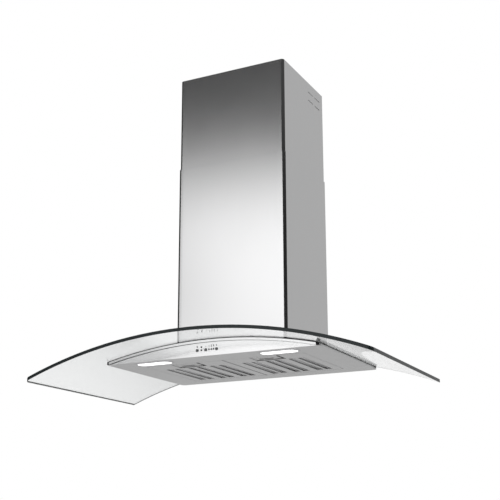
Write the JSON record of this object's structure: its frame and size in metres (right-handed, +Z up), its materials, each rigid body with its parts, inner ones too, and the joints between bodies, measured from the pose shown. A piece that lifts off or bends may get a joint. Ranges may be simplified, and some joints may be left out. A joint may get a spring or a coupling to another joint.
{
  "type": "curved glass range hood",
  "caption": "Wall-mounted kitchen hood with an arched glass canopy, a flat stainless body with swing-down grease filters, push buttons and lamps, and a telescopic chimney.",
  "frame": {"origin": "middle of the two wall-hanging holes, on the wall plane", "axes": "+X along the hood to the viewer's right, +Y into the wall, +Z up"},
  "size_m": [0.9, 0.487, 0.8308],
  "materials": {
    "canopy_glass": "clear tempered glass with dark polished edges",
    "stainless": "fine brushed stainless steel",
    "filter_steel": "brushed stainless steel, slightly darker",
    "latch_steel": "pressed stainless steel",
    "galvanised": "galvanised sheet with a faint spangle",
    "zinc_screw": "zinc plated",
    "motor_metal": "satin painted",
    "mesh_aluminium": "expanded aluminium mesh",
    "black_seal": "matt black",
    "black_plastic": "fine grained black",
    "grey_plastic": "moulded grey",
    "wheel_plastic": "moulded dark grey",
    "board": "green solder resist",
    "driver_case": "white moulded case",
    "indicator_lens": "smoked light pipe",
    "button_metal": "dark metallised plastic",
    "lamp_lens": "frosted lens, lit",
    "lamp_bezel": "metallic grey"
  },
  "bodies": {
    "root": {"glass_canopy": "canopy_glass", "glass_gasket": "black_seal", "glass_bushes": "black_seal", "glass_screws": "zinc_screw", "glass_support": "stainless", "corner_caps": "black_plastic", "lower_tray": "stainless", "front_fascia": "stainless", "control_board": "board", "led_indicators": "indicator_lens", "led_driver": "driver_case", "motor_housing": "galvanised", "housing_screws": "zinc_screw", "hanging_plate": "galvanised", "blower_scroll": "grey_plastic", "motor": "motor_metal", "motor_bracket": "galvanised", "outlet_collar": "black_plastic", "damper_pin": "zinc_screw", "terminal_box": "black_plastic", "cable_gland": "black_plastic", "capacitor": "grey_plastic", "lower_chimney": "stainless", "lamp_left_holder": "lamp_bezel", "lamp_left_lens": "lamp_lens", "lamp_right_holder": "lamp_bezel", "lamp_right_lens": "lamp_lens"},
    "chimney_upper": {"upper_chimney": "stainless", "chimney_bracket": "galvanised"},
    "fan": {"impeller": "wheel_plastic", "motor_shaft": "zinc_screw"},
    "damper_front": {"flap_front": "grey_plastic"},
    "damper_rear": {"flap_rear": "grey_plastic"},
    "push_button_1": {"button_1": "button_metal"},
    "push_button_2": {"button_2": "button_metal"},
    "push_button_3": {"button_3": "button_metal"},
    "filter_left": {"filter_left_frame": "filter_steel", "filter_left_mesh": "mesh_aluminium", "filter_left_grid": "mesh_aluminium"},
    "latch_left": {"filter_left_latch": "latch_steel"},
    "filter_right": {"filter_right_frame": "filter_steel", "filter_right_mesh": "mesh_aluminium", "filter_right_grid": "mesh_aluminium"},
    "latch_right": {"filter_right_latch": "latch_steel"}
  },
  "joints": [
    {"name": "chimney_slide", "type": "slide", "parent": "root", "child": "chimney_upper", "axis": [0, 0, 1], "range_m": [-0.255, 0.12]},
    {"name": "fan_spin", "type": "hinge", "parent": "root", "child": "fan", "pos_m": [0, -0.122, -0.115], "axis": [1, 0, 0], "continuous": true},
    {"name": "damper_front_hinge", "type": "hinge", "parent": "root", "child": "damper_front", "pos_m": [0, -0.1175, 0.05], "axis": [-1, 0, 0], "range_deg": [0, 80]},
    {"name": "damper_rear_hinge", "type": "hinge", "parent": "root", "child": "damper_rear", "pos_m": [0, -0.1175, 0.05], "axis": [1, 0, 0], "range_deg": [0, 80]},
    {"name": "button_1_press", "type": "slide", "parent": "root", "child": "push_button_1", "axis": [0, 1, 0], "range_m": [0, 0.0015], "stiffness_N_per_m": 400},
    {"name": "button_2_press", "type": "slide", "parent": "root", "child": "push_button_2", "axis": [0, 1, 0], "range_m": [0, 0.0015], "stiffness_N_per_m": 400},
    {"name": "button_3_press", "type": "slide", "parent": "root", "child": "push_button_3", "axis": [0, 1, 0], "range_m": [0, 0.0015], "stiffness_N_per_m": 400},
    {"name": "filter_left_swing", "type": "hinge", "parent": "root", "child": "filter_left", "pos_m": [-0.1084, -0.0525, -0.2688], "axis": [1, 0, 0], "range_deg": [0, 80]},
    {"name": "latch_left_slide", "type": "slide", "parent": "filter_left", "child": "latch_left", "axis": [0, 1, 0], "range_m": [0, 0.006], "stiffness_N_per_m": 500},
    {"name": "filter_right_swing", "type": "hinge", "parent": "root", "child": "filter_right", "pos_m": [0.1084, -0.0525, -0.2688], "axis": [1, 0, 0], "range_deg": [0, 80]},
    {"name": "latch_right_slide", "type": "slide", "parent": "filter_right", "child": "latch_right", "axis": [0, 1, 0], "range_m": [0, 0.006], "stiffness_N_per_m": 500}
  ]
}
